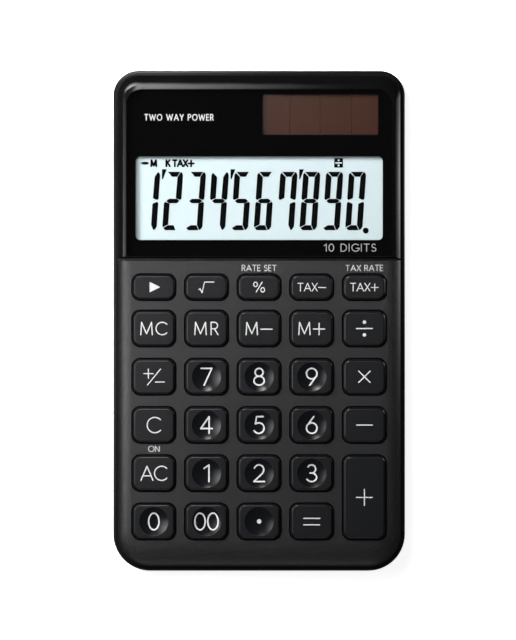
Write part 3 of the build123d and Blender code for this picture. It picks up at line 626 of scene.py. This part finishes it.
# Small words on the deck above three keys.
deckLook = {"height": 1.5, "weight": 0.15, "gap": 0.3, "rise": 1.25}
deckWords = {"key_percent": "RATE SET", "key_tax_plus": "TAX RATE", "key_all_clear": "ON"}
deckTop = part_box("front_case")[1].z / mm
deckInk = Ink(flat(deckTop), legendLook["lift"], legendLook["sink"])
for key, word in deckWords.items():
    low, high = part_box(key)
    x = (low.x + high.x) / 2 / mm
    y = high.y / mm - dish["flange"] + deckLook["rise"]
    write(deckInk, word, x, y, deckLook["height"], deckLook["weight"], deckLook["gap"])
deckInk.piece("deck_words", "legendInk", "case")

# Two plain words printed behind the lens.
panelWords = {
    "panel_words": {"word": "TWO WAY POWER", "middle": (-19.2, 48.7), "height": 1.6, "weight": 0.22,
                    "gap": 0.42, "stretch": 0.82, "ink": "legendInk"},
    "panel_digits_word": {"word": "10 DIGITS", "middle": (21.75, 17.5), "height": 1.95, "weight": 0.22,
                          "gap": 0.62, "stretch": 1.06, "ink": "greyInk"},
}
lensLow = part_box("display_lens")[0].z / mm
for name, look in panelWords.items():
    panelInk = Ink(flat(lensLow), legendLook["lift"], legendLook["sink"])
    write(panelInk, look["word"], *look["middle"], look["height"], look["weight"], look["gap"],
          look["stretch"])
    panelInk.piece(name, look["ink"], "case")

# Liquid-crystal digits: seven slanted segments in a box, drawn upright and then sheared.
crystal = {"width": 4.14, "height": 14.0, "pitch": 5.48, "slant": 0.068, "top": 35.69, "firstRight": -23.64,
           "markAfter": (0, 3, 6), "mark": [(0.36, 0.6), (0.34, -1.75), (0.62, -1.75), (1.5, 0.6)],
           "point": (25.55, 21.6, 0.72), "lift": 0.03, "sink": 0.0}
wide, tall, half = crystal["width"], crystal["height"], crystal["height"] / 2
segments = {
    "a": [(0.44, tall), (1.52, tall - 1.2), (wide - 1.4, tall - 1.2), (wide - 0.72, tall)],
    "b": [(wide - 0.62, tall - 0.08), (wide - 1.3, tall - 1.24), (wide - 1.38, half + 0.68),
          (wide - 0.33, half + 0.22), (wide, half + 0.58), (wide, tall - 0.85), (wide - 0.25, tall - 0.22)],
    "c": [(wide - 0.28, half - 0.18), (wide - 1.38, half - 0.64), (wide - 1.38, 1.28), (wide - 0.78, 0.06),
          (wide - 0.45, 0.14), (wide, 0.85), (wide, half - 0.55)],
    "d": [(0.22, 0.55), (0.78, 0), (wide - 0.9, 0), (wide - 1.48, 1.2), (1.3, 1.2)],
    "e": [(0.3, half - 0.18), (0, half - 0.55), (0, 0.95), (0.12, 0.72), (1.38, 1.38), (1.38, half - 0.64)],
    "f": [(0.32, tall - 0.22), (0, tall - 0.7), (0, half + 0.58), (0.33, half + 0.22), (1.38, half + 0.72),
          (1.38, tall - 1.26)],
    "g": [(0.5, half), (1.16, half - 0.54), (wide - 1.08, half - 0.54), (wide - 0.42, half),
          (wide - 1.08, half + 0.54), (1.16, half + 0.54)],
}
lit = {"1": "bc", "2": "abged", "3": "abgcd", "4": "fgbc", "5": "afgcd", "6": "afgecd", "7": "afbc",
       "8": "abcdefg", "9": "abcdfg", "0": "abcdef"}
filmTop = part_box("lcd_front_polariser")[1].z / mm
crystalInk = Ink(flat(filmTop), crystal["lift"], crystal["sink"])


# Leans an upright outline: a point moves left by the slant times its distance below the top.
def sheared(points, right):
    points = np.asarray(points, float)
    x = right - wide + points[:, 0] - (tall - points[:, 1]) * crystal["slant"]
    return np.stack([x, crystal["top"] - tall + points[:, 1]], axis=1)


for index, digit in enumerate("1234567890"):
    right = crystal["firstRight"] + index * crystal["pitch"]
    for segment in lit[digit]:
        crystalInk.patch(sheared(segments[segment], right))
    if index in crystal["markAfter"]:
        crystalInk.patch(np.asarray(crystal["mark"]) + (right, crystal["top"]))
crystalInk.dot(*crystal["point"])

# The line of signs over the digits: a dash, and words as (text, x, height, weight, gap, stretch).
crystalSigns = {
    "middle": 37.75, "dash": (-27.35, 0.95, 0.36),
    "words": [("M", -25.25, 1.85, 0.46, 0, 0.95), ("K", -21.8, 1.9, 0.46, 0, 0.95),
              ("TAX+", -18.15, 1.9, 0.44, 0.22, 0.96)],
}
dashX, dashAcross, dashUp = crystalSigns["dash"]
crystalInk.patch(arc(dashX, crystalSigns["middle"], dashAcross, dashUp, 0, 345))
for word, x, height, weight, gap, stretch in crystalSigns["words"]:
    write(crystalInk, word, x, crystalSigns["middle"], height, weight, gap, stretch)
crystalInk.piece("display_segments", "crystalInk", "case")

# The boxed division sign at the display's top right: a dark box with a pale sign on it.
boxSign = {"box": [(18.0, 36.7), (20.1, 36.7), (20.1, 38.95), (18.0, 38.95)], "boxTop": 0.03,
           "middle": (19.05, 37.82), "signTop": 0.05,
           "sign": {"strokes": [(-0.68, 0, 0.68, 0, 0.3)], "dots": [(0, 0.63, 0.24), (0, -0.62, 0.24)]}}
boxInk = Ink(flat(filmTop), boxSign["boxTop"], 0.0)
boxInk.patch(boxSign["box"])
boxInk.piece("display_sign_box", "crystalInk", "case")
signInk = Ink(flat(filmTop), boxSign["signTop"], -boxSign["boxTop"])
drawSign(signInk, boxSign["sign"], *boxSign["middle"])
signInk.piece("display_sign_marks", "displayFilm", "case")
print("display made")


# A solid of revolution about an upright axis: a point of the profile at radius r and height h becomes
# a ring of points at x + r cos t, y + r sin t, h.
def latheSolid(name, x, y, profile, finish, body):
    profile = np.asarray(profile, float)
    turn = np.linspace(0, 2 * np.pi, roundSteps, endpoint=False)
    rings = np.stack([x + np.outer(profile[:, 0], np.cos(turn)), y + np.outer(profile[:, 0], np.sin(turn)),
                      np.repeat(profile[:, 1:2], roundSteps, axis=1)], axis=2).reshape(-1, 3)
    count = len(profile)
    row, column = np.meshgrid(np.arange(count), np.arange(roundSteps), indexing="ij")
    after, beside = (row + 1) % count, (column + 1) % roundSteps
    quads = np.stack([row * roundSteps + column, row * roundSteps + beside, after * roundSteps + beside,
                      after * roundSteps + column], axis=2).reshape(-1, 4)
    return makePiece(name, rings, quads.tolist(), finish, body)


# Rubber domes under the keys; each dome's carbon pill rides on the key.
# The tiny gap on the axis keeps the middle of each ring of faces from closing on one point.
domes = {"radius": 3.2, "wall": 0.35, "topRadius": 1.9, "round": 0.12, "cap": 0.6, "sheet": 0.4,
         "pillRadius": 1.5, "pill": 0.15, "travel": 1.0, "axisGap": 0.02}
matLow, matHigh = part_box("key_mat")
matBase, matTop = matLow.z / mm, matHigh.z / mm
coneTop = matTop - domes["cap"]
inner = domes["radius"] - domes["wall"]
topInner = domes["topRadius"] - domes["wall"]
domeProfile = [(domes["axisGap"], matTop), (domes["topRadius"] - domes["round"], matTop),
               (domes["topRadius"], matTop - domes["round"]), (domes["topRadius"], coneTop),
               (domes["radius"], matBase + domes["sheet"]), (domes["radius"], matBase), (inner, matBase),
               (inner, matBase + domes["sheet"]), (topInner, coneTop), (domes["axisGap"], coneTop)]
pillProfile = [(domes["axisGap"], coneTop), (domes["pillRadius"], coneTop),
               (domes["pillRadius"], coneTop - domes["pill"]), (domes["axisGap"], coneTop - domes["pill"])]
middles = []
for name in keyNames:
    low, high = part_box(name)
    x, y = (low.x + high.x) / 2 / mm, (low.y + high.y) / 2 / mm
    middles.append((x, y))
    short = name.removeprefix("key_")
    dome = latheSolid("dome_" + short, x, y, domeProfile[::-1], "matRubber", "case")
    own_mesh(dome)
    latheSolid("pill_" + short, x, y, pillProfile[::-1], "pillCarbon", name)


# A flat sheet with round holes, filled from its outlines and given its thickness along Z.
def holedSheet(name, outline, holes, low, high, finish):
    curve = bpy.data.curves.new(name, "CURVE")
    curve.dimensions = "2D"
    curve.fill_mode = "BOTH"
    curve.extrude = (high - low) / 2 * mm
    turn = np.linspace(0, 2 * np.pi, roundSteps, endpoint=False)
    rounds = [np.stack([x + r * np.cos(turn), y + r * np.sin(turn)], axis=1) for x, y, r in holes]
    for points in [np.asarray(outline, float)] + rounds:
        spline = curve.splines.new("POLY")
        spline.points.add(len(points) - 1)
        full = np.column_stack([points * mm, np.zeros(len(points)), np.ones(len(points))])
        spline.points.foreach_set("co", full.ravel())
        spline.use_cyclic_u = True
    holder = bpy.data.objects.new(name + "_curve", curve)
    bpy.context.scene.collection.objects.link(holder)
    mesh = bpy.data.meshes.new_from_object(holder.evaluated_get(bpy.context.evaluated_depsgraph_get()))
    bpy.data.objects.remove(holder)
    corners = np.zeros(len(mesh.vertices) * 3)
    mesh.vertices.foreach_get("co", corners)
    corners[2::3] += (low + high) / 2 * mm
    mesh.vertices.foreach_set("co", corners)
    mesh.name = name
    mesh.materials.clear()
    mesh.materials.append(finishes[finish])
    piece = bpy.data.objects.new(name, mesh)
    bpy.context.scene.collection.objects.link(piece)
    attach(piece, "case")
    return piece


# The mat's sheet has a hole for each dome, and one for each boss that a board screw goes into. The
# bosses stand between the keys: two on each side, and two at the near end on either side of the middle.
bossLook = {"hole": 1.7, "screwHead": 1.2, "pitches": 3}
left, near, right, far = (v / mm for v in (matLow.x, matLow.y, matHigh.x, matHigh.y))
bossLow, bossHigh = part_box("board_screws")
bossX = [bossLow.x / mm + bossLook["screwHead"], bossHigh.x / mm - bossLook["screwHead"]]
bossY = [bossLow.y / mm + bossLook["screwHead"], bossHigh.y / mm - bossLook["screwHead"]]
columnPitch = (bossX[1] - bossX[0]) / bossLook["pitches"]
rowPitch = (bossY[1] - bossY[0]) / bossLook["pitches"]
bosses = [(x, y) for x in bossX for y in (bossY[1], bossY[1] - 2 * rowPitch)]
bosses += [(-columnPitch / 2, bossY[0]), (columnPitch / 2, bossY[0])]
holes = [(x, y, domes["radius"]) for x, y in middles] + [(x, y, bossLook["hole"]) for x, y in bosses]
border = [(left, near), (right, near), (right, far), (left, far)]
matSheet = holedSheet("mat_sheet", border, holes, matBase, matBase + domes["sheet"], "matRubber")
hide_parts("key_mat", "contact_pills")
print("mat made:", len(middles), "domes")

# Pale floor, soft boxes that are brightest in their middle, and a sky that is dark overhead.
# The floor is metres across, and lies a hair under the feet so that the two don't share a plane.
floorLook = {"pale": 0.92, "dark": 0.90, "shade": 400, "roughness": 0.9, "glow": 0.85, "size": 6.0,
             "gap": 0.03}
floorPaint = Paint("floorPaint")
floorShade = floorPaint.noise(floorLook["shade"])
floorFinish = floorPaint.surface({
    "Base Color": floorPaint.mix(floorShade, grey(floorLook["pale"]), grey(floorLook["dark"])),
    "Roughness": floorLook["roughness"], "Emission Color": grey(1),
    "Emission Strength": floorLook["glow"]})


# A flat rectangle on the stage, turned by angles in degrees. Unturned it faces up.
def stagePane(name, finish, centre, spans, turn):
    (left, right), (near, far) = spans
    mesh = bpy.data.meshes.new(name)
    corners = [(left, near, 0), (right, near, 0), (right, far, 0), (left, far, 0)]
    mesh.from_pydata(corners, [], [(0, 1, 2, 3)])
    mesh.materials.append(finish)
    pane = bpy.data.objects.new(name, mesh)
    pane.location = centre
    pane.rotation_euler = [math.radians(v) for v in turn]
    bpy.context.scene.collection.objects.link(pane)
    pane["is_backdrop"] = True
    return pane


floorReach = floorLook["size"] / 2
floorSpans = ((-floorReach, floorReach), (-floorReach, floorReach))
floor = stagePane("floor", floorFinish, (0, 0, -floorLook["gap"] * mm), floorSpans, (0, 0, 0))
floor.visible_glossy = False


# A soft box: its glow falls as (1 - r)(1 - r) from its middle to nothing at its two reaches.
# Its spans cut it off where it would hang over the calculator and show in the flat lens.
def softBox(name, look):
    paint = Paint(name)
    reachX, reachY = look["reach"]
    scale = (1 / (reachX * mm), 1 / (reachY * mm), 1)
    spot = paint.node("Mapping", None, {"Vector": paint.place, "Scale": scale})
    glow = paint.node("TexGradient", {"gradient_type": "QUADRATIC_SPHERE"}, {"Vector": spot})
    paint.finish(paint.node("Emission", None, {"Color": glow, "Strength": look["glow"]}))
    centre = tuple(v * mm for v in look["from"])
    spans = [tuple(v * mm for v in span) for span in look["spans"]]
    box = stagePane(name, paint.material, centre, spans, look["turn"])
    box.visible_camera = False
    box.visible_shadow = False


# The first two hang level and face down; the last stands upright on the right and faces left.
softBoxes = {
    "farBox": {"from": (-90, 113, 200), "turn": (180, 0, 0), "reach": (117, 115), "glow": 36.0,
               "spans": ((-117, 117), (-115, 34))},
    "keyBox": {"from": (-120, 0, 150), "turn": (180, 0, 0), "reach": (100, 110), "glow": 6.5,
               "spans": ((-100, 78), (-110, 70))},
    "sideBox": {"from": (125, 38, -25), "turn": (0, -90, 0), "reach": (160, 60), "glow": 4.5,
                "spans": ((-130, 150), (-60, 60))},
}
for name, look in softBoxes.items():
    softBox(name, look)


# Lamps: soft oblongs that the camera doesn't see. One that shines also shows as a highlight.
def lamp(name, look):
    light = bpy.data.lights.new(name, "AREA")
    light.shape = "RECTANGLE"
    light.size, light.size_y = (v * mm for v in look["size"])
    light.energy = look["power"]
    holder = bpy.data.objects.new(name, light)
    holder.location = [v * mm for v in look["from"]]
    holder.rotation_mode = "QUATERNION"
    holder.rotation_quaternion = holder.location.to_track_quat("Z", "Y")
    holder.visible_camera = False
    holder.visible_glossy = look["shines"]
    bpy.context.scene.collection.objects.link(holder)
    holder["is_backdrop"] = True


lamps = {
    "fillLight": {"from": (-420, 300, 260), "size": (160, 160), "power": 7.0, "shines": False},
    "nearLight": {"from": (-60, -420, 260), "size": (300, 150), "power": 0.11, "shines": True},
}
for name, look in lamps.items():
    lamp(name, look)

# The sky is nearly dark, a little less so toward the far left, and white where it is seen directly.
skyLook = {"toward": (-0.71, 0.50, 0.50), "from": 0.3, "to": 1.0, "dark": 0.045, "glow": 0.06, "seen": 1.0}
world = bpy.data.worlds.new("studio")
bpy.context.scene.world = world
world.use_nodes = True
sky = world.node_tree
skyPlace = sky.nodes.new("ShaderNodeTexCoord")
skyDot = sky.nodes.new("ShaderNodeVectorMath")
skyDot.operation = "DOT_PRODUCT"
skyDot.inputs[1].default_value = skyLook["toward"]
skyRange = sky.nodes.new("ShaderNodeMapRange")
skyRange.interpolation_type = "SMOOTHSTEP"
for socket, value in (("From Min", skyLook["from"]), ("From Max", skyLook["to"]),
                      ("To Min", skyLook["dark"]), ("To Max", skyLook["glow"])):
    skyRange.inputs[socket].default_value = value
sky.links.new(skyPlace.outputs["Generated"], skyDot.inputs[0])
sky.links.new(skyDot.outputs["Value"], skyRange.inputs["Value"])
skyPath = sky.nodes.new("ShaderNodeLightPath")
skyShown = sky.nodes.new("ShaderNodeMix")
skyShown.inputs["B"].default_value = skyLook["seen"]
sky.links.new(skyPath.outputs["Is Camera Ray"], skyShown.inputs["Factor"])
sky.links.new(skyRange.outputs["Result"], skyShown.inputs["A"])
sky.links.new(skyShown.outputs["Result"], sky.nodes["Background"].inputs["Strength"])
sky.nodes["Background"].inputs["Color"].default_value = grey(1)

# Straight down from far away through a long lens, so that the sides hardly show. "tall" is what the
# view takes in at the height "plane", and "reach", in metres, is as far as it sees.
cameraLook = {"lens": 250.0, "sensor": 36.0, "tall": 153.754, "centre": (-0.264, 0.18), "plane": 4.0,
              "reach": 10}
cameraData = bpy.data.cameras.new("camera")
cameraData.lens = cameraLook["lens"]
cameraData.sensor_width = cameraLook["sensor"]
cameraData.clip_end = cameraLook["reach"]
camera = bpy.data.objects.new("camera", cameraData)
distance = cameraLook["lens"] * cameraLook["tall"] / cameraLook["sensor"]
cameraX, cameraY = cameraLook["centre"]
camera.location = (cameraX * mm, cameraY * mm, (cameraLook["plane"] + distance) * mm)
bpy.context.scene.collection.objects.link(camera)
bpy.context.scene.camera = camera
bpy.context.scene.view_settings.view_transform = "Standard"
print("stage made")

low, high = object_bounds()
